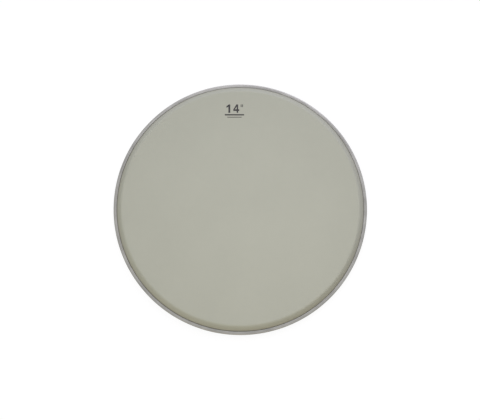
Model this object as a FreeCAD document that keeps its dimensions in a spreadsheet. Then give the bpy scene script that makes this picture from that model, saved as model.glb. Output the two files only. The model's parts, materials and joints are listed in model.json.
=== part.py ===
"""Fourteen-inch coated drum head: a formed film, locked by resin in a rolled aluminium channel hoop.

Frame: millimetres, +Z up through the playing face, origin at the centre of the hoop's foot plane.
The photograph's right is +X and its top edge is towards +Y.
"""

import FreeCAD, Part
import Sketcher
import os

PARTS_FOLDER = "parts"

# Driving sizes: alias, value in millimetres (degrees for an angle), meaning.
SIZES = (
    ("shell_diameter", 355.6, "outside of the drum shell that the head goes over"),
    ("shell_clearance", 0.4, "radial room between the shell and the hoop"),
    ("channel_width", 5.0, "hoop section, from its inside face to its outside face"),
    ("hoop_height", 9.0, "foot to the top of the lip"),
    ("outer_wall", 1.1, "thickness of the outer wall"),
    ("inner_wall", 1.1, "thickness of the inner wall"),
    ("inner_wall_height", 6.35, "foot to the top of the inner wall, which the film leans over"),
    ("channel_floor", 1.1, "thickness under the channel"),
    ("lip_thickness", 1.0, "thickness of the lip that turns in over the channel"),
    ("hoop_edge_round", 1.2, "round on the hoop's two outside edges"),
    ("foot_edge_round", 0.8, "round on the foot's inside edge"),
    ("thin_edge_round", 0.35, "round on the lip's nose and the inner wall's top"),
    ("seam_gap", 0.15, "width of the butt seam where the rolled channel's ends meet"),
    ("seam_angle", 150.0, "where the seam is, turned from +X"),
    ("joiner_length", 40.0, "arc length of the strip that bridges the seam"),
    ("joiner_thickness", 0.6, "thickness of that strip"),
    ("joiner_gap", 0.05, "room between the strip and the outer wall"),
    ("joiner_film_gap", 0.3, "room between the strip and the film"),
    ("joiner_cover", 0.3, "depth of resin over the strip"),
    ("cure_gap", 0.05, "hairline round the strip, left by the resin as it cured"),
    ("button_diameter", 1.6, "half-pierced button that locks the strip"),
    ("button_height", 0.5, "how far a button stands in, and its dent goes in from outside"),
    ("button_clearance", 0.1, "radial room of a button in the strip's hole"),
    ("button_first", 6.0, "seam to the nearer button, along the wall"),
    ("button_pitch", 8.0, "nearer button to the further one"),
    ("film_thickness", 0.25, "single ply of polyester film"),
    ("collar_height", 7.0, "top of the lip to the top of the film"),
    ("collar_angle", 50.0, "slope of the collar from the playing plane"),
    ("crown_radius", 5.0, "bend from the flat into the collar, on the film's top"),
    ("film_seat_gap", 0.1, "room between the film and the inner wall's top"),
    ("slot_width", 0.4, "room between the film and the lip's nose, at the lip's underside"),
    ("film_edge_gap", 0.8, "room between the film's edge and the outer wall"),
    ("film_floor_gap", 1.0, "room between the film's edge and the channel's floor"),
    ("film_hole_diameter", 1.5, "holes along the film's edge that the resin keys through"),
    ("film_hole_inset", 1.3, "film's edge to the centre of its holes"),
    ("film_hole_count", 60, "holes round the film"),
    ("resin_headroom", 0.6, "lip's underside down to the top of the resin"),
    ("coat_thickness", 0.06, "sprayed coat on the playing face"),
    ("coat_margin", 0.3, "coat's square edge to the start of the crown"),
    ("ink_depth", 0.03, "how far the printed size mark soaks into the coat"),
    ("mark_inset", 27.6, "start of the crown to the middle of the mark"),
    ("mark_shift", 8.5, "how far the mark stands left of the middle"),
    ("digit_height", 12.5, "numerals of the mark"),
    ("digit_width", 8.6, "width of one numeral"),
    ("digit_gap", 2.2, "between the numerals, and from them to the inch ticks"),
    ("tick_width", 1.1, "each inch tick, and the gap between the two"),
    ("tick_height", 3.9, "length of an inch tick"),
    ("rule_gap", 2.0, "between the numerals and the rules, and between the rules"),
    ("bold_rule_length", 28.0, "upper rule under the numerals"),
    ("bold_rule_width", 2.0, "its thickness"),
    ("fine_rule_length", 21.0, "lower rule"),
    ("fine_rule_width", 1.0, "its thickness"),
    ("cut_overrun", 1.0, "how far every cut runs past what it cuts"),
)

# Places worked out from the sizes: name, expression.
PLACES = (
    ("hoop_inner", "sizes.shell_diameter / 2 + sizes.shell_clearance"),
    ("hoop_outer", "hoop_inner + sizes.channel_width"),
    ("channel_outer", "hoop_outer - sizes.outer_wall"),
    ("channel_inner", "hoop_inner + sizes.inner_wall"),
    ("lip_under", "sizes.hoop_height - sizes.lip_thickness"),
    ("slope_sin", "sin(sizes.collar_angle)"),
    ("slope_cos", "cos(sizes.collar_angle)"),
    ("play_height", "sizes.hoop_height + sizes.collar_height"),
    # The collar is a cone: its top face crosses the level of the inner wall's top at cone_radius.
    ("film_slant", "sizes.film_thickness / slope_sin"),
    ("cone_radius", "channel_inner + sizes.film_seat_gap + film_slant"),
    ("cone_spread", "slope_cos / slope_sin"),
    ("crown_centre_height", "play_height - sizes.crown_radius"),
    ("crown_end_height", "crown_centre_height + sizes.crown_radius * slope_cos"),
    ("crown_end_radius", "cone_radius + (sizes.inner_wall_height - crown_end_height) * cone_spread"),
    ("flat_radius", "crown_end_radius - sizes.crown_radius * slope_sin"),
    ("under_crown", "sizes.crown_radius - sizes.film_thickness"),
    ("under_end_radius", "flat_radius + under_crown * slope_sin"),
    ("under_end_height", "crown_centre_height + under_crown * slope_cos"),
    ("room_to_wall", "channel_outer - sizes.film_edge_gap - crown_end_radius"),
    ("room_to_floor", "under_end_height - sizes.channel_floor - sizes.film_floor_gap"),
    ("collar_length", "min(room_to_wall / slope_cos; room_to_floor / slope_sin)"),
    ("hole_along", "collar_length - sizes.film_hole_inset"),
    ("hole_radius", "(crown_end_radius + under_end_radius) / 2 + hole_along * slope_cos"),
    ("hole_height", "(crown_end_height + under_end_height) / 2 - hole_along * slope_sin"),
    ("slot_inner", "cone_radius + (sizes.inner_wall_height - lip_under) * cone_spread"),
    ("lip_nose", "slot_inner + sizes.slot_width"),
    ("resin_top", "lip_under - sizes.resin_headroom"),
    ("resin_inside_top", "sizes.inner_wall_height - sizes.thin_edge_round"),
    ("film_middle", "cone_radius - film_slant / 2"),
    ("resin_top_radius", "film_middle + (sizes.inner_wall_height - resin_top) * cone_spread"),
    ("resin_inside_radius", "film_middle + (sizes.inner_wall_height - resin_inside_top) * cone_spread"),
    ("joiner_outer", "channel_outer - sizes.joiner_gap"),
    ("joiner_inner", "joiner_outer - sizes.joiner_thickness"),
    ("joiner_room", "joiner_inner - sizes.joiner_film_gap - cone_radius"),
    ("joiner_bottom", "sizes.inner_wall_height - joiner_room / cone_spread"),
    ("joiner_top", "resin_top - sizes.joiner_cover"),
    ("button_level", "(joiner_bottom + joiner_top) / 2"),
    ("coat_radius", "flat_radius - sizes.coat_margin"),
    ("coat_top", "play_height + sizes.coat_thickness"),
    ("mark_across", "-sizes.mark_shift"),
    ("mark_along", "flat_radius - sizes.mark_inset"),
    ("rules_depth", "2 * sizes.rule_gap + sizes.bold_rule_width + sizes.fine_rule_width"),
    ("mark_depth", "sizes.digit_height + rules_depth"),
    ("digit_foot", "mark_along + mark_depth / 2 - sizes.digit_height"),
    ("digit_top", "digit_foot + sizes.digit_height"),
    ("mark_length", "2 * sizes.digit_width + 2 * sizes.digit_gap + 3 * sizes.tick_width"),
    ("one_left", "mark_across - mark_length / 2"),
    ("four_left", "one_left + sizes.digit_width + sizes.digit_gap"),
    ("ticks_left", "four_left + sizes.digit_width + sizes.digit_gap"),
    ("bold_rule_top", "digit_foot - sizes.rule_gap"),
    ("fine_rule_top", "bold_rule_top - sizes.bold_rule_width - sizes.rule_gap"),
)

# Numeral outlines as shares of a numeral's width and height.
ONE_SHARES = ((0.42, 0), (0.74, 0), (0.74, 1), (0.50, 1), (0.10, 0.80), (0.10, 0.58), (0.42, 0.73))
FOUR_SHARES = (
    (0.56, 0), (0.82, 0), (0.82, 0.22), (1, 0.22), (1, 0.42), (0.82, 0.42),
    (0.82, 1), (0.52, 1), (0, 0.42), (0, 0.22), (0.56, 0.22),
)
FOUR_EYE_SHARES = ((0.56, 0.42), (0.56, 0.74), (0.28, 0.42))

STRAIGHT = None
LEFT_TURN, RIGHT_TURN = 1, -1


def make_sheet(doc):
    """Driving sizes: one row each, with the value's cell carrying the alias."""
    sheet = doc.addObject("Spreadsheet::Sheet", "sizes")
    for row, (alias, value, meaning) in enumerate(SIZES, start=1):
        sheet.set(f"A{row}", alias)
        sheet.set(f"B{row}", str(value))
        sheet.set(f"C{row}", meaning)
        sheet.setAlias(f"B{row}", alias)
    doc.recompute()
    return sheet


def make_places(doc):
    """Variable set whose values follow the sheet, shared by every piece that meets another."""
    places = doc.addObject("App::VarSet", "places")
    for name, expression in PLACES:
        places.addProperty("App::PropertyFloat", name)
        places.setExpression(name, expression)
    doc.recompute()
    return places


def value_of(doc, expression):
    """An expression's present value, as a plain number."""
    return float(doc.sizes.evalExpression(expression))


def bind(item, **expressions):
    """Ties properties of a document object to expressions."""
    for name, expression in expressions.items():
        item.setExpression(name, expression)
    return item


def arc_between(start, end, radius, turn):
    """Arc of under a half circle from start to end, turning left or right."""
    chord = end - start
    sideways = FreeCAD.Vector(-chord.y, chord.x, 0).normalize() * turn
    reach = (radius**2 - (chord.Length / 2) ** 2) ** 0.5
    centre = (start + end) / 2 + sideways * reach
    bulge = centre - sideways * radius
    return Part.Arc(start, bulge, end)


def draw_outline(doc, sketch, stretches):
    """Closed outline whose corners and radii are bound to expressions.

    A stretch is (x, y, radius, turn): where it ends, and its radius if it is an arc.
    """
    ends = [FreeCAD.Vector(value_of(doc, x), value_of(doc, y), 0) for x, y, _, _ in stretches]
    first = sketch.GeometryCount
    constraints, expressions, entries, exits = [], {}, [], []
    for step, (x, y, radius, turn) in enumerate(stretches):
        piece = first + step
        start, end = ends[step - 1], ends[step]
        if radius is STRAIGHT:
            sketch.addGeometry(Part.LineSegment(start, end))
        else:
            size = value_of(doc, radius)
            sketch.addGeometry(arc_between(start, end, size, turn))
            constraints.append(Sketcher.Constraint("Radius", piece, size))
            constraints[-1].Name = f"radius_{piece}"
            expressions[f"radius_{piece}"] = radius
        # A sketch arc always runs anticlockwise, so a right turn is entered at its far end.
        entries.append((piece, 2 if turn == RIGHT_TURN else 1))
        exits.append((piece, 1 if turn == RIGHT_TURN else 2))
        for axis, place, expression in (("X", end.x, x), ("Y", end.y, y)):
            constraints.append(Sketcher.Constraint(f"Distance{axis}", -1, 1, *exits[-1], place))
            constraints[-1].Name = f"{axis.lower()}_{piece}"
            expressions[constraints[-1].Name] = expression
    for step in range(len(stretches)):
        constraints.append(Sketcher.Constraint("Coincident", *exits[step - 1], *entries[step]))
    sketch.addConstraint(constraints)
    for name, expression in expressions.items():
        sketch.setExpression(f"Constraints.{name}", expression)


def straight(x, y):
    """Straight stretch to x, y."""
    return (x, y, STRAIGHT, 0)


def square_outline(doc, corners):
    """Stretches of an outline with level and upright sides, each corner (x, y, radius or STRAIGHT)."""
    spots = [FreeCAD.Vector(value_of(doc, x), value_of(doc, y), 0) for x, y, _ in corners]
    stretches = []
    for step, (x, y, radius) in enumerate(corners):
        if radius is STRAIGHT:
            stretches.append(straight(x, y))
            continue
        before = (spots[step] - spots[step - 1]).normalize()
        after = (spots[(step + 1) % len(corners)] - spots[step]).normalize()
        turn = LEFT_TURN if before.cross(after).z > 0 else RIGHT_TURN
        stretches.append(straight(*stepped(x, y, before * -1, radius)))
        stretches.append((*stepped(x, y, after, radius), radius, turn))
    return stretches


def stepped(x, y, heading, distance):
    """Expressions for the point that lies a distance from x, y along a level or upright heading."""
    return f"{x} + {round(heading.x)} * {distance}", f"{y} + {round(heading.y)} * {distance}"


def rectangle(left, bottom, right, top):
    """Stretches of a plain rectangle."""
    return [straight(right, bottom), straight(right, top), straight(left, top), straight(left, bottom)]


def make_body(doc, name):
    """Empty body that carries its own label."""
    body = doc.addObject("PartDesign::Body", name)
    body.Label = name
    return body


def sketch_on(body, name, role):
    """Sketch on one of the body's own origin planes."""
    sketch = body.newObject("Sketcher::SketchObject", name)
    plane = next(item for item in body.Origin.OriginFeatures if item.Role == role)
    sketch.AttachmentSupport = [(plane, "")]
    sketch.MapMode = "FlatFace"
    return sketch


def revolve(doc, body, stretches, angle=None):
    """Turns a section, drawn as radius and height, about +Z: a full turn, or centred on the section."""
    sketch = sketch_on(body, f"{body.Name}_section", "XZ_Plane")
    draw_outline(doc, sketch, stretches)
    feature = body.newObject("PartDesign::Revolution", f"{body.Name}_turn")
    feature.Profile = sketch
    feature.ReferenceAxis = (sketch, ["V_Axis"])
    if angle is None:
        feature.Angle = 360
    else:
        feature.Midplane = True
        bind(feature, Angle=angle)
    doc.recompute()
    return feature


def pocket_cut(doc, body, pocket):
    """Checks that a pocket took material away from what was there before it."""
    doc.recompute()
    if not pocket.Shape.Volume < pocket.BaseFeature.Shape.Volume:
        raise RuntimeError(f"{pocket.Name} cut nothing from {body.Name}")


def seam_turn():
    """Placement expression that turns a piece drawn on +X round to the seam."""
    return "placement(vector(0; 0; 0); rotationz(sizes.seam_angle))"


def make_channel(doc):
    """Rolled aluminium channel with its lip turned in, cut through at the seam."""
    body = make_body(doc, "channel")
    corners = [
        ("places.hoop_inner", "0", "sizes.foot_edge_round"),
        ("places.hoop_outer", "0", "sizes.hoop_edge_round"),
        ("places.hoop_outer", "sizes.hoop_height", "sizes.hoop_edge_round"),
        ("places.lip_nose", "sizes.hoop_height", "sizes.thin_edge_round"),
        ("places.lip_nose", "places.lip_under", "sizes.thin_edge_round"),
        ("places.channel_outer", "places.lip_under", STRAIGHT),
        ("places.channel_outer", "sizes.channel_floor", STRAIGHT),
        ("places.channel_inner", "sizes.channel_floor", STRAIGHT),
        ("places.channel_inner", "sizes.inner_wall_height", "sizes.thin_edge_round"),
        ("places.hoop_inner", "sizes.inner_wall_height", "sizes.thin_edge_round"),
    ]
    revolve(doc, body, square_outline(doc, corners))
    sketch = sketch_on(body, "seam_slot", "XY_Plane")
    slot = rectangle(
        "places.hoop_inner - sizes.cut_overrun",
        "-sizes.seam_gap / 2",
        "places.hoop_outer + sizes.cut_overrun",
        "sizes.seam_gap / 2",
    )
    draw_outline(doc, sketch, slot)
    seam = body.newObject("PartDesign::Pocket", "seam")
    seam.Profile = sketch
    seam.Reversed = True
    bind(seam, Length="sizes.hoop_height + sizes.cut_overrun")
    pocket_cut(doc, body, seam)
    return bind(body, Placement=seam_turn())


def radial_pegs(doc, name, diameter, inner, outer):
    """Four upright-wall pegs beside the seam, two on each channel end, from one radius to another."""
    pegs = []
    for side in (-1, 1):
        for place in ("sizes.button_first", "sizes.button_first + sizes.button_pitch"):
            peg = doc.addObject("Part::Cylinder", f"{name}_{len(pegs) + 1}")
            turn = f"sizes.seam_angle + {side} * ({place}) / places.channel_outer * 180 / pi"
            spot = f"vector(({inner}) * cos({turn}); ({inner}) * sin({turn}); places.button_level)"
            bind(
                peg,
                Radius=f"({diameter}) / 2",
                Height=f"({outer}) - ({inner})",
                Placement=f"placement({spot}; rotationz({turn}) * rotationy(90))",
            )
            pegs.append(peg)
    return pegs


def gather(doc, name, members):
    """Compound of several objects, used as one tool."""
    group = doc.addObject("Part::Compound", name)
    group.Links = members
    return group


def take_away(doc, name, base, tool):
    """Named cut of one object by another."""
    cut = doc.addObject("Part::Cut", name)
    cut.Base = base
    cut.Tool = tool
    cut.Label = name
    return cut


def make_flesh_hoop(doc, buttons):
    """Channel with half-pierced buttons beside its seam: a dent outside, a button inside."""
    joined = doc.addObject("Part::MultiFuse", "channel_with_buttons")
    joined.Shapes = [make_channel(doc), *buttons]
    dents = radial_pegs(
        doc,
        "dent",
        "sizes.button_diameter",
        "places.hoop_outer - sizes.button_height",
        "places.hoop_outer + sizes.cut_overrun",
    )
    return take_away(doc, "flesh_hoop", joined, gather(doc, "dents", dents))


def make_hoop_joiner(doc):
    """Curved strip behind the outer wall that bridges the seam, with a hole for each button."""
    body = make_body(doc, "joiner_strip")
    section = rectangle(
        "places.joiner_inner", "places.joiner_bottom", "places.joiner_outer", "places.joiner_top"
    )
    revolve(doc, body, section, angle="sizes.joiner_length / places.channel_outer * 180 / pi")
    bind(body, Placement=seam_turn())
    holes = radial_pegs(
        doc,
        "joiner_hole",
        "sizes.button_diameter + 2 * sizes.button_clearance",
        "places.joiner_inner - sizes.cut_overrun",
        "places.joiner_outer + sizes.cut_overrun",
    )
    return take_away(doc, "hoop_joiner", body, gather(doc, "joiner_holes", holes))


def make_drum_film(doc):
    """Formed film: flat, crown bend and sloping collar, with keying holes round its hidden edge."""
    body = make_body(doc, "drum_film")
    under = "places.play_height - sizes.film_thickness"
    reach = "places.collar_length * places.slope_cos"
    drop = "places.collar_length * places.slope_sin"
    section = [
        straight("0", "places.play_height"),
        straight("0", under),
        straight("places.flat_radius", under),
        ("places.under_end_radius", "places.under_end_height", "places.under_crown", RIGHT_TURN),
        straight(f"places.under_end_radius + {reach}", f"places.under_end_height - {drop}"),
        straight(f"places.crown_end_radius + {reach}", f"places.crown_end_height - {drop}"),
        straight("places.crown_end_radius", "places.crown_end_height"),
        ("places.flat_radius", "places.play_height", "sizes.crown_radius", LEFT_TURN),
    ]
    revolve(doc, body, section)
    # The hole is punched square to the cone, so its sketch leans back by the rest of a right angle.
    sketch = sketch_on(body, "edge_hole_circle", "YZ_Plane")
    lean = "rotationx(sizes.collar_angle - 90)"
    spot = "vector(0; places.hole_height; places.hole_radius)"
    bind(sketch, AttachmentOffset=f"placement({spot}; {lean})")
    draw_circle(doc, sketch, "sizes.film_hole_diameter / 2")
    hole = body.newObject("PartDesign::Pocket", "edge_hole")
    hole.Profile = sketch
    hole.SideType = "Symmetric"
    bind(hole, Length="2 * sizes.film_thickness + 2 * sizes.film_seat_gap")
    pocket_cut(doc, body, hole)
    holes = body.newObject("PartDesign::PolarPattern", "edge_holes")
    holes.Originals = [hole]
    holes.Axis = (next(item for item in body.Origin.OriginFeatures if item.Role == "Z_Axis"), [""])
    holes.Angle = 360
    bind(holes, Occurrences="sizes.film_hole_count")
    body.Tip = holes
    doc.recompute()
    return body


def draw_circle(doc, sketch, radius):
    """Circle at the sketch's origin, with its radius bound to an expression."""
    size = value_of(doc, radius)
    circle = sketch.addGeometry(Part.Circle(FreeCAD.Vector(), FreeCAD.Vector(0, 0, 1), size))
    limit = Sketcher.Constraint("Radius", circle, size)
    limit.Name = "radius"
    sketch.addConstraint([Sketcher.Constraint("Coincident", circle, 3, -1, 1), limit])
    sketch.setExpression("Constraints.radius", radius)


def make_resin_fill(doc, film):
    """Cured resin that fills the channel round the film's edge, through its holes and round the strip."""
    body = make_body(doc, "channel_filling")
    section = [
        straight("places.channel_outer", "sizes.channel_floor"),
        straight("places.channel_outer", "places.resin_top"),
        straight("places.resin_top_radius", "places.resin_top"),
        straight("places.resin_inside_radius", "places.resin_inside_top"),
        straight("places.channel_inner", "places.resin_inside_top"),
        straight("places.channel_inner", "sizes.channel_floor"),
    ]
    revolve(doc, body, section)
    pocket = make_body(doc, "strip_pocket")
    room = rectangle(
        "places.joiner_inner - sizes.cure_gap",
        "places.joiner_bottom - sizes.cure_gap",
        "places.channel_outer + sizes.cut_overrun",
        "places.joiner_top + sizes.cure_gap",
    )
    reach = "sizes.joiner_length + 2 * sizes.cure_gap"
    revolve(doc, pocket, room, angle=f"({reach}) / places.channel_outer * 180 / pi")
    bind(pocket, Placement=seam_turn())
    return take_away(doc, "resin_fill", body, gather(doc, "held_in_resin", [film, pocket]))


def make_batter_coating(doc, mark):
    """Sprayed coat on the flat of the film, with the size mark printed flush into its top."""
    body = make_body(doc, "coat_layer")
    sketch = sketch_on(body, "coat_circle", "XY_Plane")
    bind(sketch, AttachmentOffset="placement(vector(0; 0; places.play_height); rotationz(0))")
    draw_circle(doc, sketch, "places.coat_radius")
    coat = body.newObject("PartDesign::Pad", "coat")
    coat.Profile = sketch
    bind(coat, Length="sizes.coat_thickness")
    return take_away(doc, "batter_coating", body, mark)


def numeral(shares, left):
    """Stretches of a numeral's outline from its shares of the numeral's width and height."""
    return [
        straight(f"{left} + {across} * sizes.digit_width", f"places.digit_foot + {up} * sizes.digit_height")
        for across, up in shares
    ]


def mark_rule(top, length, width):
    """Stretches of a plain rule centred under the numerals."""
    return rectangle(
        f"places.mark_across - {length} / 2", f"{top} - {width}", f"places.mark_across + {length} / 2", top
    )


def make_size_mark(doc):
    """Plain printed size in inches over two rules."""
    sketch = doc.addObject("Sketcher::SketchObject", "mark_outlines")
    bind(sketch, Placement="placement(vector(0; 0; places.coat_top - sizes.ink_depth); rotationz(0))")
    outlines = [
        numeral(ONE_SHARES, "places.one_left"),
        numeral(FOUR_SHARES, "places.four_left"),
        numeral(FOUR_EYE_SHARES, "places.four_left"),
        mark_rule("places.bold_rule_top", "sizes.bold_rule_length", "sizes.bold_rule_width"),
        mark_rule("places.fine_rule_top", "sizes.fine_rule_length", "sizes.fine_rule_width"),
    ]
    for step in (0, 2):
        left = f"places.ticks_left + {step} * sizes.tick_width"
        right = f"{left} + sizes.tick_width"
        outlines.append(rectangle(left, "places.digit_top - sizes.tick_height", right, "places.digit_top"))
    for stretches in outlines:
        draw_outline(doc, sketch, stretches)
    mark = doc.addObject("Part::Extrusion", "size_mark")
    mark.Label = "size_mark"
    mark.Base = sketch
    mark.Solid = True
    mark.DirMode = "Normal"
    bind(mark, LengthFwd="sizes.ink_depth")
    return mark


def check_document(doc, nodes):
    """Stops the build if any object failed, or a piece is empty, open or invalid."""
    failed = [item.Name for item in doc.Objects if {"Invalid", "Error"} & set(item.State)]
    if failed:
        raise RuntimeError(f"failed objects: {failed}")
    for node in nodes:
        shape = node.Shape
        if shape.isNull() or not shape.isValid() or not shape.Solids:
            raise RuntimeError(f"{node.Label} has no valid solid")
        print(f"{node.Label}: {len(shape.Solids)} solid(s), {shape.Volume:.1f} mm3")


def main():
    """Builds the document, checks it and writes one STEP file for each piece."""
    doc = FreeCAD.newDocument("drum_head")
    make_sheet(doc)
    make_places(doc)
    film = make_drum_film(doc)
    joiner = make_hoop_joiner(doc)
    buttons = radial_pegs(
        doc,
        "button",
        "sizes.button_diameter",
        "places.channel_outer - sizes.button_height",
        "places.hoop_outer - sizes.outer_wall / 2",
    )
    hoop = make_flesh_hoop(doc, buttons)
    resin = make_resin_fill(doc, film)
    mark = make_size_mark(doc)
    coat = make_batter_coating(doc, mark)
    doc.recompute()
    nodes = (film, coat, mark, hoop, joiner, resin)
    check_document(doc, nodes)
    os.makedirs(PARTS_FOLDER, exist_ok=True)
    for node in nodes:
        node.Shape.exportStep(os.path.join(PARTS_FOLDER, f"{node.Label}.step"))


main()
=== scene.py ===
"""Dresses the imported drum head: hoop, film, coat, resin and size mark, with its studio and camera.

Lengths are metres in the head's own frame: +Z up through the playing face, the hoop's foot at zero
height, +Y towards the printed size mark.
"""

import json
import logging
import math
from collections.abc import Callable, Sequence
from dataclasses import dataclass, field
from enum import Enum
from typing import Protocol

import bmesh
import bpy
from mathutils import Matrix, Vector


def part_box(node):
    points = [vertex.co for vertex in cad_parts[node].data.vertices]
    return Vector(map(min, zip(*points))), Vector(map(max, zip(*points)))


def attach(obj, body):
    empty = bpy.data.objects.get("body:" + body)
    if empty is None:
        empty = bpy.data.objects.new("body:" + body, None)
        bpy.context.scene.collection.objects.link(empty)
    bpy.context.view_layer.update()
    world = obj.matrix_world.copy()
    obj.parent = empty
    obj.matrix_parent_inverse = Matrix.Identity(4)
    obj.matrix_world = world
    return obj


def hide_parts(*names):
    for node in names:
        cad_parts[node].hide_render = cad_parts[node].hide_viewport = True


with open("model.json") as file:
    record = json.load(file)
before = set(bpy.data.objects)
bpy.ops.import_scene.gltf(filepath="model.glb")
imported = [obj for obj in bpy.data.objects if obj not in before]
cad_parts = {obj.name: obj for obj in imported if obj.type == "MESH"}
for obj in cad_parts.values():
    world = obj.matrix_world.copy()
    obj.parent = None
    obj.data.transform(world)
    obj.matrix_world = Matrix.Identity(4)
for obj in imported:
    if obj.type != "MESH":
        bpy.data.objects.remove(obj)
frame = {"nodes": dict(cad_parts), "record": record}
log = logging.getLogger("drum_head")

Colour = tuple[float, float, float]
Paint = Colour | bpy.types.NodeSocket
Spot = tuple[float, float]
Band = tuple[float, float]

MM = 0.001
FULL_TURN = math.tau
SHARP_ANGLE = math.radians(38)
NOISE_MEAN = 0.5
BODY = "root"
WHITE: Colour = (1.0, 1.0, 1.0)
COAT_COLOUR: Colour = (0.410, 0.422, 0.343)


class Slot(Enum):
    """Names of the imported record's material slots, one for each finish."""

    HOOP = "hoop_aluminium"
    JOINER = "joiner_aluminium"
    FILM = "polyester_film"
    COAT = "sprayed_coat"
    RESIN = "cured_resin"
    INK = "mark_ink"


# Shader graphs


class Signal:
    """A number that changes over a surface: one output socket, with arithmetic."""

    def __init__(self, graph: "Graph", socket: bpy.types.NodeSocket) -> None:
        """Wraps a socket of a graph."""
        self.graph = graph
        self.socket = socket

    def math(self, operation: str, *others: "Signal | float", first: bool = True) -> "Signal":
        """Adds one Math node.

        Args:
            operation: the Math node's operation.
            others: the other inputs, signals or plain numbers.
            first: whether this signal comes before the others.

        Returns:
            The node's result.
        """
        inputs = [self, *others] if first else [*others, self]
        node = self.graph.node("ShaderNodeMath", {"operation": operation}, dict(enumerate(inputs)))
        return Signal(self.graph, node.outputs[0])

    def __add__(self, other: "Signal | float") -> "Signal":
        """Sum."""
        return self.math("ADD", other)

    def __sub__(self, other: "Signal | float") -> "Signal":
        """Difference."""
        return self.math("SUBTRACT", other)

    def __mul__(self, other: "Signal | float") -> "Signal":
        """Product."""
        return self.math("MULTIPLY", other)

    def __truediv__(self, other: "Signal | float") -> "Signal":
        """Quotient."""
        return self.math("DIVIDE", other)

    def __pow__(self, other: "Signal | float") -> "Signal":
        """Power."""
        return self.math("POWER", other)

    def __rsub__(self, other: float) -> "Signal":
        """A plain number less this signal."""
        return self.math("SUBTRACT", other, first=False)

    def __rtruediv__(self, other: float) -> "Signal":
        """A plain number divided by this signal."""
        return self.math("DIVIDE", other, first=False)

    def __rpow__(self, other: float) -> "Signal":
        """A plain number to the power of this signal."""
        return self.math("POWER", other, first=False)

    __radd__ = __add__
    __rmul__ = __mul__

    def ramp(self, low: float, high: float) -> "Signal":
        """Smooth rise from 0 at low to 1 at high, or a fall where high is the smaller.

        Args:
            low: the value that gives 0.
            high: the value that gives 1.

        Returns:
            The eased share, held between 0 and 1.
        """
        sockets = {"Value": self, "From Min": low, "From Max": high}
        node = self.graph.node("ShaderNodeMapRange", {"interpolation_type": "SMOOTHSTEP"}, sockets)
        return Signal(self.graph, node.outputs["Result"])


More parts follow.
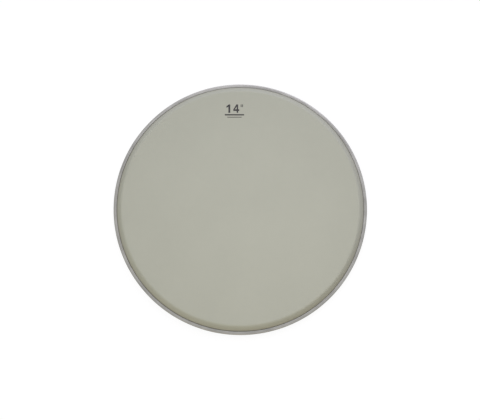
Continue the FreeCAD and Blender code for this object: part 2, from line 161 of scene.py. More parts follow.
class Graph:
    """The node tree of a material or a world, built from nodes and signals."""

    NOISE_ROUGHNESS = 0.55
    # The Mix node's colour sockets go by number, because its sockets share their names.
    MIX_FIRST = 6
    MIX_SECOND = 7
    MIX_RESULT = 2

    def __init__(self, owner: bpy.types.Material | bpy.types.World) -> None:
        """Takes over the owner's tree and empties it.

        Args:
            owner: the material or world.
        """
        self.owner = owner
        owner.use_nodes = True
        self.tree = owner.node_tree
        self.tree.nodes.clear()

    def node(self, kind: str, settings: dict[str, object], sockets: dict) -> bpy.types.Node:
        """Adds one node of any kind.

        Args:
            kind: the node's type.
            settings: its own properties, set first.
            sockets: values, signals or output sockets for its inputs, by name or number.

        Returns:
            The new node.
        """
        node = self.tree.nodes.new(kind)
        for name, value in settings.items():
            setattr(node, name, value)
        for key, value in sockets.items():
            if isinstance(value, Signal):
                value = value.socket
            if isinstance(value, bpy.types.NodeSocket):
                self.tree.links.new(value, node.inputs[key])
            else:
                node.inputs[key].default_value = value
        return node

    def places(self) -> tuple[Signal, Signal, Signal, bpy.types.NodeSocket]:
        """Object coordinates.

        Returns:
            The three coordinates as signals, and the whole vector's socket.
        """
        point = self.node("ShaderNodeTexCoord", {}, {}).outputs["Object"]
        parts = self.node("ShaderNodeSeparateXYZ", {}, {0: point}).outputs
        return (*(Signal(self, part) for part in parts), point)

    def vector(self, *parts: Signal | float) -> bpy.types.NodeSocket:
        """Joins three signals or numbers into a vector."""
        return self.node("ShaderNodeCombineXYZ", {}, dict(enumerate(parts))).outputs[0]

    def noise(self, point: bpy.types.NodeSocket, size: float, detail: float = 2.0) -> Signal:
        """Soft noise, about one half on average.

        Args:
            point: where it is read.
            size: how far apart its features are.
            detail: how many finer layers it has.

        Returns:
            The noise's value.
        """
        sockets = {"Vector": point, "Scale": 1 / size, "Detail": detail, "Roughness": self.NOISE_ROUGHNESS}
        return Signal(self, self.node("ShaderNodeTexNoise", {}, sockets).outputs[0])

    def cells(self, point: bpy.types.NodeSocket, size: float) -> Signal:
        """Scattered round cells.

        Args:
            point: where they are read.
            size: how far apart their middles are.

        Returns:
            The distance from the nearest middle, as a share of that size.
        """
        sockets = {"Vector": point, "Scale": 1 / size}
        return Signal(self, self.node("ShaderNodeTexVoronoi", {}, sockets).outputs["Distance"])

    def mix(self, share: Signal, first: Paint, second: Paint) -> bpy.types.NodeSocket:
        """Mixes two colours, each a triple or a socket.

        Args:
            share: how much of the second shows.
            first: the colour at share 0.
            second: the colour at share 1.

        Returns:
            The mixed colour's socket.
        """
        ends = [(*end, 1.0) if isinstance(end, tuple) else end for end in (first, second)]
        sockets = {"Factor": share, self.MIX_FIRST: ends[0], self.MIX_SECOND: ends[1]}
        return self.node("ShaderNodeMix", {"data_type": "RGBA"}, sockets).outputs[self.MIX_RESULT]

    def bump(self, height: Signal, depth: float, strength: float) -> bpy.types.NodeSocket:
        """Bump normal.

        Args:
            height: the surface's height as a share of the depth.
            depth: what a height of 1 stands for.
            strength: how much of the bump is felt.

        Returns:
            The normal's socket.
        """
        sockets = {"Height": height, "Distance": depth, "Strength": strength}
        return self.node("ShaderNodeBump", {}, sockets).outputs[0]

    def seen_directly(self) -> Signal:
        """Tells a look from soft light.

        Returns:
            A share that is 1 where the camera, a mirror or glass looks, and 0 for soft light.
        """
        path = self.node("ShaderNodeLightPath", {}, {}).outputs
        kinds = ("Camera", "Glossy", "Transmission")
        camera, mirror, glass = (Signal(self, path[f"Is {kind} Ray"]) for kind in kinds)
        return camera.math("MAXIMUM", mirror).math("MAXIMUM", glass)

    def surface(self, **sockets: object) -> bpy.types.Material:
        """Finishes the material with one principled shader.

        Args:
            sockets: the shader's inputs, with underscores for the spaces in their names.

        Returns:
            The material.
        """
        named = {name.replace("_", " "): value for name, value in sockets.items()}
        shader = self.node("ShaderNodeBsdfPrincipled", {}, named)
        self.node("ShaderNodeOutputMaterial", {}, {"Surface": shader.outputs[0]})
        return self.owner


# Finishes


class Finish(Protocol):
    """What every finish offers."""

    def material(self) -> bpy.types.Material:
        """Builds the finish as a material."""


@dataclass(frozen=True)
class DrawnAluminium:
    """Rolled channel metal: lines along the draw, an uneven darker skin, painted shade on the outside top
    edge, and scuffs.
    """

    name: str
    base: Colour
    # The darker colour serves both the uneven skin and the painted shade on the outside top edge; the edge
    # fields place that shade.
    dull_and_shade: Colour
    edge_radius: float
    edge_height: float
    edge_width: float = 1.1 * MM
    edge_shade_share: float = 0.85
    roughness: float = 0.44
    line_pitch: float = 0.16 * MM
    line_drift: float = 90 * MM
    line_skew: float = 2.0
    line_depth: float = 0.006 * MM
    line_share: float = 0.55
    line_dulling: float = 0.16
    cloud_size: float = 28 * MM
    cloud_dulling: float = 0.08
    scuff_size: float = 5 * MM
    scuff_band: Band = (0.60, 0.72)
    scuff_depth: float = 0.5
    scuff_dulling: float = 0.14
    tone_band: Band = (0.25, 0.75)
    relief: float = 0.55

    def material(self) -> bpy.types.Material:
        """Builds the metal, whose lines follow the circle round the head's axis.

        Returns:
            The material.
        """
        graph = Graph(bpy.data.materials.new(self.name))
        x, y, z, point = graph.places()
        radius = (x * x + y * y) ** 0.5
        along = (x + self.line_skew * y) / self.line_drift
        drawn = graph.vector(radius / self.line_pitch, z / self.line_pitch, along)
        lines = graph.noise(drawn, 1.0, detail=3.0)
        cloud = graph.noise(point, self.cloud_size, detail=4.0)
        scuffs = graph.noise(point, self.scuff_size, detail=5.0).ramp(*self.scuff_band) * lines
        # Painted shade: the outside top edge is darkened towards the darker metal colour, standing in for
        # shade on the rounded edge.
        outside = radius.ramp(self.edge_radius - self.edge_width, self.edge_radius)
        upper = z.ramp(self.edge_height - 2 * self.edge_width, self.edge_height - self.edge_width)
        painted_edge_shade = outside * upper * self.edge_shade_share
        skin = self.line_share * lines + (1.0 - self.line_share) * cloud
        tone = skin.ramp(*self.tone_band) * (1.0 - painted_edge_shade)
        uneven = self.line_dulling * (lines - NOISE_MEAN) + self.cloud_dulling * (cloud - NOISE_MEAN)
        return graph.surface(
            Base_Color=graph.mix(tone, self.dull_and_shade, self.base),
            Metallic=1.0,
            Roughness=self.roughness + uneven + self.scuff_dulling * scuffs,
            Normal=graph.bump(lines + self.scuff_depth * scuffs, self.line_depth, self.relief),
        )


@dataclass(frozen=True)
class SprayedCoat:
    """Matte sprayed coat: fine dry grain, soft clouds, and a thinner layer down the collar.

    Painted light makes it palest in the middle of the flat, and a little paler to the right and near side.
    """

    name: str
    base: Colour
    # The paler tone serves both the spray's uneven tone and the painted light on the flat.
    pale_and_lit: Colour
    thin: Colour
    spread: float
    full_height: float
    thin_height: float
    thin_share: float = 0.45
    thin_least: float = 0.7
    thin_mottle: float = 0.6
    thin_gloss: float = 0.2
    tone_band: Band = (0.3, 0.7)
    tone_share: float = 0.42
    lit_middle_share: float = 0.52
    lit_right: float = 0.26
    lit_near: float = 0.13
    roughness: float = 0.78
    specular: float = 0.2
    grain_size: float = 0.42 * MM
    grain_share: float = 0.3
    grain_dulling: float = 0.12
    grain_depth: float = 0.035 * MM
    droplet_size: float = 1.5 * MM
    droplet_band: Band = (0.05, 0.55)
    droplet_depth: float = 0.35
    mottle_size: float = 9 * MM
    mottle_share: float = 0.2
    cloud_size: float = 75 * MM
    cloud_share: float = 0.5
    cloud_dulling: float = 0.06
    relief: float = 0.6

    def material(self) -> bpy.types.Material:
        """Builds the coat from three scales of noise and a droplet texture.

        Returns:
            The material.
        """
        graph = Graph(bpy.data.materials.new(self.name))
        x, y, z, point = graph.places()
        grain = graph.noise(point, self.grain_size, detail=3.0)
        mottle = graph.noise(point, self.mottle_size, detail=3.0)
        cloud = graph.noise(point, self.cloud_size, detail=2.0)
        droplets = 1.0 - graph.cells(point, self.droplet_size).ramp(*self.droplet_band)
        spray = self.cloud_share * cloud + self.mottle_share * mottle + self.grain_share * grain
        tone = spray.ramp(*self.tone_band)
        # Painted light: paler towards the middle of the flat, and towards the right and near side.
        middle = 1.0 - (x * x + y * y) / self.spread**2
        drift = (self.lit_right * x - self.lit_near * y) / self.spread
        dry = graph.mix(self.tone_share * tone + self.lit_middle_share * middle + drift, self.base, self.pale_and_lit)
        thinning = z.ramp(self.full_height, self.thin_height) * self.thin_share
        patchy = self.thin_least + self.thin_mottle * mottle
        uneven = self.grain_dulling * (grain - NOISE_MEAN) + self.cloud_dulling * (cloud - NOISE_MEAN)
        return graph.surface(
            Base_Color=graph.mix(thinning * patchy, dry, self.thin),
            Roughness=self.roughness + uneven - self.thin_gloss * thinning,
            Specular_IOR_Level=self.specular,
            Normal=graph.bump(grain + self.droplet_depth * droplets, self.grain_depth, self.relief),
        )


@dataclass(frozen=True)
class HazyFilm:
    """Polyester film: a warm haze where the coat backs it, painted dark below as shade seen through the
    clear film, with fine rub marks.
    """

    name: str
    base: Colour
    deep: Colour
    clear: Colour
    backed_height: float
    fade: float = 0.25 * MM
    rub_size: float = 0.5 * MM
    rub_depth: float = 0.004 * MM
    rub_dulling: float = 0.12
    haze_size: float = 16 * MM
    haze_band: Band = (0.25, 0.75)
    haze_dulling: float = 0.1
    roughness: float = 0.26
    refraction: float = 1.6
    relief: float = 0.35

    def material(self) -> bpy.types.Material:
        """Builds the film.

        Returns:
            The material.
        """
        graph = Graph(bpy.data.materials.new(self.name))
        *_, z, point = graph.places()
        haze = graph.noise(point, self.haze_size, detail=3.0)
        # Painted shade: below the coat the clear film takes a dark colour for the shade seen through it in
        # the slot.
        backed = z.ramp(self.backed_height - self.fade, self.backed_height)
        milky = graph.mix(haze.ramp(*self.haze_band), self.deep, self.base)
        rubs = graph.noise(point, self.rub_size, detail=2.0)
        uneven = self.haze_dulling * (haze - NOISE_MEAN) + self.rub_dulling * (rubs - NOISE_MEAN)
        return graph.surface(
            Base_Color=graph.mix(backed, self.clear, milky),
            Roughness=self.roughness + uneven,
            IOR=self.refraction,
            Normal=graph.bump(rubs, self.rub_depth, self.relief),
        )


@dataclass(frozen=True)
class CuredResin:
    """Poured resin: self-levelled and glossy, with faint flow and a few trapped bubbles."""

    name: str
    base: Colour
    deep: Colour
    bubble_size: float = 1.1 * MM
    bubble_band: Band = (0.08, 0.2)
    bubble_dulling: float = 0.2
    bubble_depth: float = 0.4
    flow_size: float = 14 * MM
    flow_band: Band = (0.3, 0.7)
    flow_dulling: float = 0.14
    flow_depth: float = 0.1 * MM
    roughness: float = 0.2
    relief: float = 0.4

    def material(self) -> bpy.types.Material:
        """Builds the resin.

        Returns:
            The material.
        """
        graph = Graph(bpy.data.materials.new(self.name))
        *_, point = graph.places()
        flow = graph.noise(point, self.flow_size, detail=3.0)
        bubbles = 1.0 - graph.cells(point, self.bubble_size).ramp(*self.bubble_band)
        return graph.surface(
            Base_Color=graph.mix(flow.ramp(*self.flow_band), self.deep, self.base),
            Roughness=self.roughness + self.flow_dulling * flow + self.bubble_dulling * bubbles,
            Normal=graph.bump(flow - self.bubble_depth * bubbles, self.flow_depth, self.relief),
        )


@dataclass(frozen=True)
class ScreenInk:
    """Screen-printed ink on a dry coat: dense black, with pinholes where the grain shows."""

    name: str
    base: Colour
    coat: Colour
    pinhole_size: float = 0.3 * MM
    pinhole_depth: float = 0.02 * MM
    patch_size: float = 3.5 * MM
    patch_share: float = 0.25
    bare_band: Band = (0.66, 0.78)
    bare_share: float = 0.5
    bare_dulling: float = 0.25
    roughness: float = 0.55
    relief: float = 0.4

    def material(self) -> bpy.types.Material:
        """Builds the ink.

        Returns:
            The material.
        """
        graph = Graph(bpy.data.materials.new(self.name))
        *_, point = graph.places()
        pinholes = graph.noise(point, self.pinhole_size, detail=2.0)
        patches = graph.noise(point, self.patch_size, detail=2.0)
        bare = (pinholes + self.patch_share * (patches - NOISE_MEAN)).ramp(*self.bare_band)
        return graph.surface(
            Base_Color=graph.mix(bare * self.bare_share, self.base, self.coat),
            Roughness=self.roughness + self.bare_dulling * bare,
            Normal=graph.bump(pinholes, self.pinhole_depth, self.relief),
        )


# Turned sections


@dataclass(frozen=True)
class Corner:
    """A corner of a section: its radius and height, and how far it is rounded."""

    radius: float
    height: float
    rounding: float = 0.0

    @property
    def spot(self) -> Vector:
        """The corner in the plane that holds +X and +Z."""
        return Vector((self.radius, 0.0, self.height))


class Section:
    """A section drawn in the radius and height plane, then turned about the head's axis."""

    ARC_STEP = math.radians(12)
    LEAST_STEPS = 3
    WELD = 0.0005 * MM

    def __init__(self, corners: Sequence[Corner], closed: bool = True) -> None:
        """Draws the outline stretch by stretch.

        Args:
            corners: the corners in order.
            closed: whether the last corner joins the first; an open one starts and ends on the axis.
        """
        self.mesh = bmesh.new()
        self.tip: bmesh.types.BMVert | None = None
        for step, corner in enumerate(corners):
            if corner.rounding:
                self.turn_corner(corners[step - 1], corner, corners[(step + 1) % len(corners)])
            else:
                self.line_to(corner.spot)
        if closed:
            self.mesh.verts.ensure_lookup_table()
            self.mesh.edges.new((self.tip, self.mesh.verts[0]))

    def line_to(self, spot: Vector) -> None:
        """Draws a straight stretch, or starts the outline.

        Args:
            spot: where the stretch ends.
        """
        if self.tip is None:
            self.tip = self.mesh.verts.new(spot)
            return
        drawn = bmesh.ops.extrude_vert_indiv(self.mesh, verts=[self.tip])
        self.tip = drawn["verts"][0]
        self.tip.co = spot

    def turn_corner(self, before: Corner, corner: Corner, after: Corner) -> None:
        """Draws up to a rounded corner and round it.

        Args:
            before: the corner that the outline comes from.
            corner: the corner itself.
            after: the corner that the outline goes on to.
        """
        arriving = (corner.spot - before.spot).normalized()
        leaving = (after.spot - corner.spot).normalized()
        axis = arriving.cross(leaving).normalized()
        turn = arriving.angle(leaving)
        start = corner.spot - arriving * corner.rounding * math.tan(turn / 2)
        self.line_to(start)
        drawn = bmesh.ops.spin(
            self.mesh,
            geom=[self.tip],
            cent=start + axis.cross(arriving) * corner.rounding,
            axis=axis,
            angle=turn,
            steps=max(self.LEAST_STEPS, math.ceil(turn / self.ARC_STEP)),
        )
        self.tip = next(item for item in drawn["geom_last"] if isinstance(item, bmesh.types.BMVert))

    def turned(
        self, name: str, steps: int, span: float = FULL_TURN, start: float = 0.0
    ) -> bpy.types.Object:
        """Turns the section about the head's axis into a closed piece.

        Args:
            name: the piece's name.
            steps: how many steps the turn takes.
            span: how far it turns; a part turn gets flat ends.
            start: where it starts, from +X.

        Returns:
            The piece.
        """
        whole = math.isclose(span, FULL_TURN)
        mesh = self.mesh
        bmesh.ops.rotate(mesh, verts=mesh.verts, matrix=Matrix.Rotation(start, 3, "Z"))
        bmesh.ops.spin(
            mesh,
            geom=[*mesh.verts, *mesh.edges],
            cent=(0, 0, 0),
            axis=(0, 0, 1),
            angle=span,
            steps=steps,
            use_merge=whole,
        )
        if not whole:
            bmesh.ops.holes_fill(mesh, edges=[edge for edge in mesh.edges if edge.is_boundary], sides=0)
        bmesh.ops.remove_doubles(mesh, verts=mesh.verts, dist=self.WELD)
        return finished(mesh, name)


def finished(mesh: bmesh.types.BMesh, name: str) -> bpy.types.Object:
    """Makes an object of a finished mesh, smooth but for its sharp edges.

    Args:
        mesh: the mesh, which is used up.
        name: the piece's name.

    Returns:
        The piece, at the origin.
    """
    bmesh.ops.recalc_face_normals(mesh, faces=mesh.faces)
    data = bpy.data.meshes.new(name)
    mesh.to_mesh(data)
    mesh.free()
    data.shade_smooth()
    data.set_sharp_from_angle(angle=SHARP_ANGLE)
    piece = bpy.data.objects.new(name, data)
    bpy.context.scene.collection.objects.link(piece)
    return piece


def pressed(piece: bpy.types.Object, tool: bpy.types.Object) -> None:
    """Takes a tool's shape out of a piece for good, and removes the tool.

    Args:
        piece: the piece to cut.
        tool: the shape to take away.
    """
    cut = piece.modifiers.new("pressed", "BOOLEAN")
    cut.operation = "DIFFERENCE"
    cut.solver = "EXACT"
    cut.object = tool
    shape = piece.evaluated_get(bpy.context.evaluated_depsgraph_get())
    plain = piece.data
    piece.data = bpy.data.meshes.new_from_object(shape)
    piece.modifiers.clear()
    bpy.data.meshes.remove(plain)
    bpy.data.objects.remove(tool)


def set_over(
    piece: bpy.types.Object,
    drift: Spot,
    moves: Callable[[bmesh.types.BMVert], bool] | None = None,
) -> None:
    """Sets a piece over to one side, at the same height.

    Args:
        piece: the piece.
        drift: how far its points go along +X and +Y.
        moves: tells which points go, where only some do.
    """
    mesh = bmesh.new()
    mesh.from_mesh(piece.data)
    going = [vert for vert in mesh.verts if moves is None or moves(vert)]
    bmesh.ops.translate(mesh, verts=going, vec=(*drift, 0.0))
    mesh.to_mesh(piece.data)
    mesh.free()


def dressed(piece: bpy.types.Object, finish: Finish, slot: Slot, *nodes: str) -> bpy.types.Object:
    """Gives a piece its finish and, where it replaces nodes, hangs it on the root body and hides those
    nodes.

    Args:
        piece: the piece.
        finish: its finish.
        slot: the record's material slot; not used.
        nodes: the nodes that it replaces; none where the piece is the node itself.

    Returns:
        The piece.
    """
    piece.data.materials.clear()
    piece.data.materials.append(finish.material())
    if nodes:
        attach(piece, BODY)
        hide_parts(*nodes)
    return piece


# Sizes that the pieces share


def mount_of(name: str) -> dict:
    """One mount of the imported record."""
    return next(mount for mount in frame["record"]["mounts"] if mount["name"] == name)


@dataclass(frozen=True)
class HeadSizes:
    """The head's shared sizes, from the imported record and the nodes' boxes.

    The film and its coat sit off the hoop's centre by film_drift, so the slot widens on the near side.
    """

    hoop_inner: float
    hoop_outer: float
    hoop_height: float
    film_top: float
    film_foot: float
    coat_top: float
    resin_top: float
    film_thickness: float = 0.25 * MM
    crown_radius: float = 5.0 * MM
    collar_angle: float = math.radians(50)
    outer_wall: float = 1.1 * MM
    inner_wall: float = 1.1 * MM
    channel_floor: float = 1.1 * MM
    inner_wall_height: float = 6.35 * MM
    film_seat_gap: float = 0.2 * MM
    film_drift: Spot = (0.15 * MM, 0.335 * MM)
    lip_thickness: float = 1.0 * MM
    slot_width: float = 0.3 * MM
    coat_drop: float = 0.8 * MM
    turn_steps: int = 540

    @classmethod
    def from_frame(cls) -> "HeadSizes":
        """Reads the driving sizes from the frame.

        Returns:
            The sizes.
        """
        film_low, film_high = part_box("drum_film")
        return cls(
            hoop_inner=mount_of("shell_bore")["dims"]["r_mm"] * MM,
            hoop_outer=mount_of("hoop_outside")["dims"]["r_mm"] * MM,
            hoop_height=mount_of("rim_seat")["pos_m"][2],
            film_top=film_high.z,
            film_foot=film_low.z,
            coat_top=mount_of("playing_face")["pos_m"][2],
            resin_top=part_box("resin_fill")[1].z,
        )

    @property
    def coat_thickness(self) -> float:
        """Thickness of the coat on the flat."""
        return self.coat_top - self.film_top

    @property
    def coat_foot(self) -> float:
        """Height of the coat's lower edge in the slot."""
        return self.hoop_height - self.coat_drop

    @property
    def channel_outer(self) -> float:
        """Inside face of the hoop's outer wall."""
        return self.hoop_outer - self.outer_wall

    @property
    def channel_inner(self) -> float:
        """Channel side of the hoop's inner wall."""
        return self.hoop_inner + self.inner_wall

    @property
    def lip_under(self) -> float:
        """Height of the lip's underside."""
        return self.hoop_height - self.lip_thickness

    @property
    def lip_nose(self) -> float:
        """Radius of the lip's inner edge."""
        return self.collar(self.lip_under, self.film_thickness) + self.slot_width

    def collar(self, height: float, lift: float = 0.0) -> float:
        """Radius of the collar.

        Args:
            height: the height where it is taken.
            lift: how far the face lies out from the film's inside.

        Returns:
            The radius of that face at that height.
        """
        rise = self.inner_wall_height - height
        slope = math.tan(self.collar_angle)
        return self.channel_inner + self.film_seat_gap + rise / slope + lift / math.sin(self.collar_angle)

    def layer(self, inside: float, outside: float, foot: float, taper: float) -> Section:
        """Section of a layer that follows the formed film over its flat, crown and collar.

        Args:
            inside: lift of the layer's inner face from the film's inner face.
            outside: lift of its outer face.
            foot: height of its lower edge.
            taper: how much higher the outer face ends than the inner face.

        Returns:
            The open section, which starts and ends on the axis.
        """
        level = self.film_top - self.film_thickness
        bend = self.crown_radius - self.film_thickness
        low, high, edge = level + inside, level + outside, foot + taper
        return Section(
            [
                Corner(0.0, low),
                Corner(self.collar(low, inside), low, bend + inside),
                Corner(self.collar(foot, inside), foot),
                Corner(self.collar(edge, outside), edge),
                Corner(self.collar(high, outside), high, bend + outside),
                Corner(0.0, high),
            ],
            closed=False,
        )


# Pieces


@dataclass
class FleshHoop:
    """Rolled channel with its lip turned in, its butt seam and the dents of four locking buttons.

    The lip's upper edge is left nearly as it was sheared, with the small round lip_break.
    """

    sizes: HeadSizes
    base: Colour = (0.415, 0.411, 0.383)
    # The darker metal colour: the skin's uneven tone, and the painted shade on the outside top edge.
    dull_and_shade: Colour = (0.20, 0.197, 0.182)
    edge_round: float = 1.2 * MM
    foot_round: float = 0.8 * MM
    thin_round: float = 0.35 * MM
    lip_break: float = 0.12 * MM
    seam_gap: float = 0.15 * MM
    seam_angle: float = math.radians(150)
    dent_radius: float = 0.8 * MM
    dent_flare: float = 0.15 * MM
    dent_depth: float = 0.5 * MM
    dent_first: float = 6.0 * MM
    dent_pitch: float = 8.0 * MM
    dent_sides: int = 24

    def section(self) -> Section:
        """Draws the channel's section, anticlockwise from the foot's inside edge.

        Returns:
            The closed section.
        """
        s = self.sizes
        return Section(
            [
                Corner(s.hoop_inner, 0.0, self.foot_round),
                Corner(s.hoop_outer, 0.0, self.edge_round),
                Corner(s.hoop_outer, s.hoop_height, self.edge_round),
                Corner(s.lip_nose, s.hoop_height, self.lip_break),
                Corner(s.lip_nose, s.lip_under, self.thin_round),
                Corner(s.channel_outer, s.lip_under),
                Corner(s.channel_outer, s.channel_floor),
                Corner(s.channel_inner, s.channel_floor),
                Corner(s.channel_inner, s.inner_wall_height, self.thin_round),
                Corner(s.hoop_inner, s.inner_wall_height, self.thin_round),
            ]
        )

    def dent_level(self) -> float:
        """Height of the buttons, at the middle of the strip that they lock."""
        low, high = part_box("hoop_joiner")
        return (low.z + high.z) / 2

    def dents(self) -> bpy.types.Object:
        """Makes the four flared pegs that press the dents.

        Returns:
            The pegs as one tool.
        """
        mesh = bmesh.new()
        for side in (-1, 1):
            for reach in (self.dent_first, self.dent_first + self.dent_pitch):
                angle = self.seam_angle + side * reach / self.sizes.channel_outer
                place = (
                    Matrix.Rotation(angle, 4, "Z")
                    @ Matrix.Translation((self.sizes.hoop_outer, 0.0, self.dent_level()))
                    @ Matrix.Rotation(math.pi / 2, 4, "Y")
                )
                bmesh.ops.create_cone(
                    mesh,
                    cap_ends=True,
                    segments=self.dent_sides,
                    radius1=self.dent_radius - self.dent_flare,
                    radius2=self.dent_radius + self.dent_flare,
                    depth=2 * self.dent_depth,
                    matrix=place,
                )
        return finished(mesh, "dent_tool")

    def build(self) -> bpy.types.Object:
        """Turns the channel, opens the seam, presses the dents and dresses the metal.

        Returns:
            The hoop.
        """
        s = self.sizes
        gap = self.seam_gap / s.hoop_outer
        start = self.seam_angle + gap / 2
        hoop = self.section().turned("flesh_hoop_rolled", s.turn_steps, FULL_TURN - gap, start)
        pressed(hoop, self.dents())
        finish = DrawnAluminium("hoop_metal", self.base, self.dull_and_shade, s.hoop_outer, s.hoop_height)
        return dressed(hoop, finish, Slot.HOOP, "flesh_hoop")


@dataclass
class HoopJoiner:
    """Mill-finished strip behind the seam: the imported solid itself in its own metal."""

    sizes: HeadSizes
    base: Colour = (0.45, 0.45, 0.44)
    dull_and_shade: Colour = (0.36, 0.36, 0.35)
    roughness: float = 0.42

    def build(self) -> bpy.types.Object:
        """Dresses the strip's node.

        Returns:
            The node's object.
        """
        finish = DrawnAluminium(
            "joiner_metal",
            self.base,
            self.dull_and_shade,
            self.sizes.hoop_outer,
            self.sizes.hoop_height,
            roughness=self.roughness,
        )
        return dressed(frame["nodes"]["hoop_joiner"], finish, Slot.JOINER)


@dataclass
class DrumFilm:
    """Formed film: flat, crown and collar, down to its square edge in the channel."""

    sizes: HeadSizes
    base: Colour = (0.50, 0.485, 0.41)
    deep: Colour = (0.45, 0.435, 0.365)
    # The clear film's dark colour is painted shade, seen through it in the slot.
    clear: Colour = (0.13, 0.121, 0.095)

    def build(self) -> bpy.types.Object:
        """Turns the film and gives it its haze.

        Returns:
            The film.
        """
        s = self.sizes
        square = s.film_thickness * math.cos(s.collar_angle)
        film = s.layer(0.0, s.film_thickness, s.film_foot, square).turned("drum_film_formed", s.turn_steps)
        set_over(film, s.film_drift)
        finish = HazyFilm("hazy_film", self.base, self.deep, self.clear, s.coat_foot)
        return dressed(film, finish, Slot.FILM, "drum_film")


@dataclass
class ResinFill:
    """Resin in the channel, drawn up a little where it wets the film and the wall."""

    sizes: HeadSizes
    base: Colour = (0.30, 0.285, 0.235)
    deep: Colour = (0.22, 0.207, 0.17)
    creep: float = 0.35 * MM
    inside_drop: float = 0.35 * MM

    def meets_film(self, vert: bmesh.types.BMVert) -> bool:
        """Tells the resin's film side from its channel side.

        Args:
            vert: a point of the resin.

        Returns:
            Whether the point follows the film.
        """
        s = self.sizes
        radius = vert.co.xy.length
        on_wall = min(abs(radius - s.channel_inner), abs(radius - s.channel_outer)) < Section.WELD
        outer_half = radius > (s.channel_inner + s.channel_outer) / 2
        return not on_wall and not (outer_half and vert.co.z > s.resin_top - Section.WELD)

    def build(self) -> bpy.types.Object:
        """Turns the resin's section round the film's hidden edge.

        Returns:
            The resin.
        """
        s = self.sizes
        inside_top = s.inner_wall_height - self.inside_drop
        edge_top = s.film_foot + s.film_thickness * math.cos(s.collar_angle)
        high = s.resin_top + self.creep
        outline = [
            Corner(s.channel_outer, s.channel_floor),
            Corner(s.channel_outer, high),
            Corner(s.channel_outer - self.creep, s.resin_top, 2 * self.creep),
            Corner(s.collar(s.resin_top, s.film_thickness) + self.creep, s.resin_top, 2 * self.creep),
            Corner(s.collar(high, s.film_thickness), high),
            Corner(s.collar(edge_top, s.film_thickness), edge_top),
            Corner(s.collar(s.film_foot), s.film_foot),
            Corner(s.collar(inside_top), inside_top),
            Corner(s.channel_inner, inside_top),
            Corner(s.channel_inner, s.channel_floor),
        ]
        resin = Section(outline).turned("resin_fill_poured", s.turn_steps)
        set_over(resin, s.film_drift, self.meets_film)
        return dressed(resin, CuredResin("channel_resin", self.base, self.deep), Slot.RESIN, "resin_fill")


@dataclass
class BatterCoat:
    """Sprayed coat over the flat, crown and collar, feathered out in the slot."""

    sizes: HeadSizes
    base: Colour = COAT_COLOUR
    # The coat's paler tone, which also carries the painted light in the middle and to the right and near
    # side.
    pale_and_lit: Colour = (0.457, 0.4704, 0.382)
    thin: Colour = (0.408, 0.403, 0.318)
    thin_start: float = 1.5 * MM
    feather: float = 0.5 * MM

    def build(self) -> bpy.types.Object:
        """Turns the coat and gives it its grain.

        Returns:
            The coat.
        """
        s = self.sizes
        section = s.layer(s.film_thickness, s.film_thickness + s.coat_thickness, s.coat_foot, self.feather)
        finish = SprayedCoat(
            "sprayed_coat",
            self.base,
            self.pale_and_lit,
            self.thin,
            spread=s.collar(s.hoop_height),
            full_height=s.film_top - self.thin_start,
            thin_height=s.hoop_height,
        )
        coat = section.turned("batter_coating_sprayed", s.turn_steps)
        set_over(coat, s.film_drift)
        return dressed(coat, finish, Slot.COAT, "batter_coating")


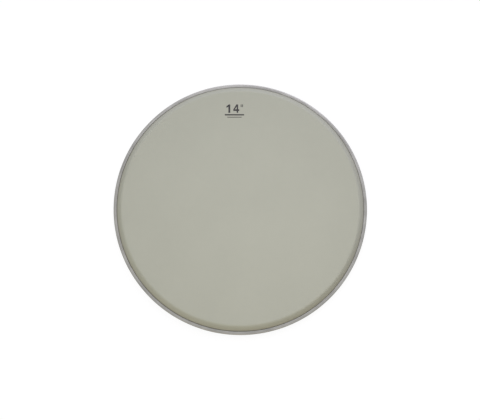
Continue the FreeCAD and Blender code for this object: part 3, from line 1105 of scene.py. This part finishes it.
@dataclass
class SizeMark:
    """Plain printed size in inches over two rules."""

    sizes: HeadSizes
    ink: Colour = (0.022, 0.021, 0.02)
    ink_thickness: float = 0.02 * MM
    digit_height: float = 12.5 * MM
    digit_width: float = 8.6 * MM
    digit_gap: float = 2.2 * MM
    tick_width: float = 1.1 * MM
    tick_height: float = 3.9 * MM
    rule_gap: float = 2.0 * MM
    bold_rule: Spot = (28.0 * MM, 2.0 * MM)
    fine_rule: Spot = (21.0 * MM, 1.0 * MM)
    one_shares: tuple[Spot, ...] = (
        (0.42, 0), (0.74, 0), (0.74, 1), (0.50, 1), (0.10, 0.80), (0.10, 0.58), (0.42, 0.73),
    )
    four_shares: tuple[Spot, ...] = (
        (0.56, 0), (0.82, 0), (0.82, 0.22), (1, 0.22), (1, 0.42), (0.82, 0.42),
        (0.82, 1), (0.52, 1), (0, 0.42), (0, 0.22), (0.56, 0.22),
    )
    four_eye_shares: tuple[Spot, ...] = ((0.56, 0.42), (0.56, 0.74), (0.28, 0.42))
    mesh: bmesh.types.BMesh = field(default_factory=bmesh.new)

    def loop(self, spots: Sequence[Spot]) -> None:
        """Draws one closed loop of the print on top of the coat.

        Args:
            spots: the loop's corners.
        """
        verts = [self.mesh.verts.new((x, y, self.sizes.coat_top)) for x, y in spots]
        for step, vert in enumerate(verts):
            self.mesh.edges.new((verts[step - 1], vert))

    def numeral(self, shares: Sequence[Spot], left: float, foot: float) -> None:
        """Draws a numeral's loop from its shares of the numeral's width and height."""
        wide, high = self.digit_width, self.digit_height
        self.loop([(left + across * wide, foot + up * high) for across, up in shares])

    def bar(self, left: float, top: float, width: float, height: float) -> None:
        """Draws a rectangle by its left and top edges and its size."""
        right, bottom = left + width, top - height
        self.loop([(left, bottom), (right, bottom), (right, top), (left, top)])

    def outlines(self) -> None:
        """Draws the numerals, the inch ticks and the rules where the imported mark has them."""
        low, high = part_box("size_mark")
        centre = (low.x + high.x) / 2
        foot = high.y - self.digit_height
        advance = self.digit_width + self.digit_gap
        ticks_width = 3 * self.tick_width  # two ticks and the gap between them
        one_left = centre - (2 * advance + ticks_width) / 2
        four_left = one_left + advance
        ticks_left = four_left + advance
        self.numeral(self.one_shares, one_left, foot)
        self.numeral(self.four_shares, four_left, foot)
        self.numeral(self.four_eye_shares, four_left, foot)
        for step in (0, 2):
            self.bar(ticks_left + step * self.tick_width, high.y, self.tick_width, self.tick_height)
        top = foot - self.rule_gap
        for length, width in (self.bold_rule, self.fine_rule):
            self.bar(centre - length / 2, top, length, width)
            top -= width + self.rule_gap

    def build(self) -> bpy.types.Object:
        """Fills the outlines and gives the ink its thickness and finish.

        Returns:
            The printed mark.
        """
        self.outlines()
        mesh = self.mesh
        bmesh.ops.triangle_fill(mesh, use_beauty=True, use_dissolve=True, edges=mesh.edges)
        raised = bmesh.ops.extrude_face_region(mesh, geom=mesh.faces, use_keep_orig=True)["geom"]
        top_verts = [item for item in raised if isinstance(item, bmesh.types.BMVert)]
        bmesh.ops.translate(mesh, verts=top_verts, vec=(0.0, 0.0, self.ink_thickness))
        finish = ScreenInk("mark_ink", self.ink, COAT_COLOUR)
        return dressed(finished(mesh, "size_mark_printed"), finish, Slot.INK, "size_mark")


# Studio


@dataclass(frozen=True)
class SoftLamp:
    """Square soft lamp that looks at the head's centre."""

    name: str
    turn: float
    lean: float
    distance: float
    size: float
    radiance: float
    colour: Colour = WHITE
    mirrored: bool = True

    def build(self) -> None:
        """Hangs the lamp, turned from +X and leaning that far from straight above."""
        lamp = bpy.data.lights.new(self.name, "AREA")
        lamp.shape = "SQUARE"
        lamp.size = self.size
        lamp.color = self.colour
        lamp.energy = self.radiance * math.pi * self.size**2
        heading = Vector((math.cos(self.turn), math.sin(self.turn), 0.0)) * math.sin(self.lean)
        spot = (heading + Vector((0.0, 0.0, math.cos(self.lean)))) * self.distance
        holder = bpy.data.objects.new(self.name, lamp)
        holder.location = spot
        holder.rotation_euler = (-spot).to_track_quat("-Z", "Y").to_euler()
        holder.visible_camera = False
        holder.visible_glossy = self.mirrored
        bpy.context.scene.collection.objects.link(holder)


@dataclass
class Studio:
    """Pale floor, soft light and the camera above the head."""

    sizes: HeadSizes
    picture_pixels: float = 480.0
    head_pixels: float = 252.4
    tilt: float = math.radians(8.95)
    distance: float = 2.0
    aim: Spot = (-0.4 * MM, -1.8 * MM)
    sensor: float = 36.0
    ambient: float = 0.22
    lamps: tuple[SoftLamp, ...] = (
        SoftLamp(
            "top_lamp",
            turn=math.radians(190),
            lean=math.radians(17),
            distance=3.0,
            size=4.0,
            radiance=1.1,
            mirrored=False,
        ),
        SoftLamp(
            "window_lamp",
            turn=math.radians(70),
            lean=math.radians(54),
            distance=6.0,
            size=6.0,
            radiance=2.15,
            colour=(1.01, 0.975, 1.22),
        ),
        SoftLamp(
            "warm_fill",
            turn=math.radians(266),
            lean=math.radians(62),
            distance=2.4,
            size=2.0,
            radiance=1.0,
            colour=(1.0, 0.80, 0.54),
        ),
    )
    floor_span: float = 30.0
    floor_paint: Colour = (0.6, 0.6, 0.6)
    floor_glow: float = 0.8
    floor_level: float = 1.12
    floor_drop: float = 0.05 * MM

    def world(self) -> None:
        """White all round to the eye, and a plain level of soft light."""
        graph = Graph(bpy.data.worlds.new("studio_world"))
        strength = self.ambient + (1.0 - self.ambient) * graph.seen_directly()
        sky = graph.node("ShaderNodeBackground", {}, {"Color": (*WHITE, 1.0), "Strength": strength})
        graph.node("ShaderNodeOutputWorld", {}, {"Surface": sky.outputs[0]})
        bpy.context.scene.world = graph.owner

    def floor(self) -> None:
        """Pale floor that looks white and still takes a soft shadow."""
        mesh = bmesh.new()
        bmesh.ops.create_grid(mesh, x_segments=2, y_segments=2, size=self.floor_span / 2)
        bmesh.ops.translate(mesh, verts=mesh.verts, vec=(0.0, 0.0, -self.floor_drop))
        floor = finished(mesh, "studio_floor")
        graph = Graph(bpy.data.materials.new("studio_floor"))
        paint = graph.node("ShaderNodeBsdfDiffuse", {}, {"Color": (*self.floor_paint, 1.0)}).outputs[0]
        glow = graph.node("ShaderNodeEmission", {}, {"Strength": self.floor_level}).outputs[0]
        share = graph.seen_directly() * self.floor_glow
        both = graph.node("ShaderNodeMixShader", {}, {0: share, 1: paint, 2: glow}).outputs[0]
        graph.node("ShaderNodeOutputMaterial", {}, {"Surface": both})
        floor.data.materials.append(graph.owner)

    def camera(self) -> None:
        """Camera nearly straight above, leaning towards the near edge, framed on the hoop's width."""
        data = bpy.data.cameras.new("camera")
        data.sensor_width = self.sensor
        width = 2 * self.sizes.hoop_outer * self.picture_pixels / self.head_pixels
        data.lens = self.sensor * self.distance / width
        holder = bpy.data.objects.new("camera", data)
        back = Vector((0.0, -math.sin(self.tilt), math.cos(self.tilt)))
        holder.location = Vector((*self.aim, 0.0)) + back * self.distance
        holder.rotation_euler = (self.tilt, 0.0, 0.0)
        bpy.context.scene.collection.objects.link(holder)
        bpy.context.scene.camera = holder

    def build(self) -> None:
        """Sets the whole studio up."""
        bpy.context.scene.view_settings.view_transform = "Standard"
        self.world()
        self.floor()
        for lamp in self.lamps:
            lamp.build()
        self.camera()


def main() -> None:
    """Builds every piece in order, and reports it."""
    logging.basicConfig(level=logging.INFO, format="%(name)s: %(message)s")
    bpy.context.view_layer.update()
    sizes = HeadSizes.from_frame()
    for part in (FleshHoop, HoopJoiner, DrumFilm, ResinFill, BatterCoat, SizeMark):
        piece = part(sizes).build()
        log.info("%s: %d faces, %s", piece.name, len(piece.data.polygons), piece.active_material.name)
    Studio(sizes).build()


if __name__ == "__main__":
    main()
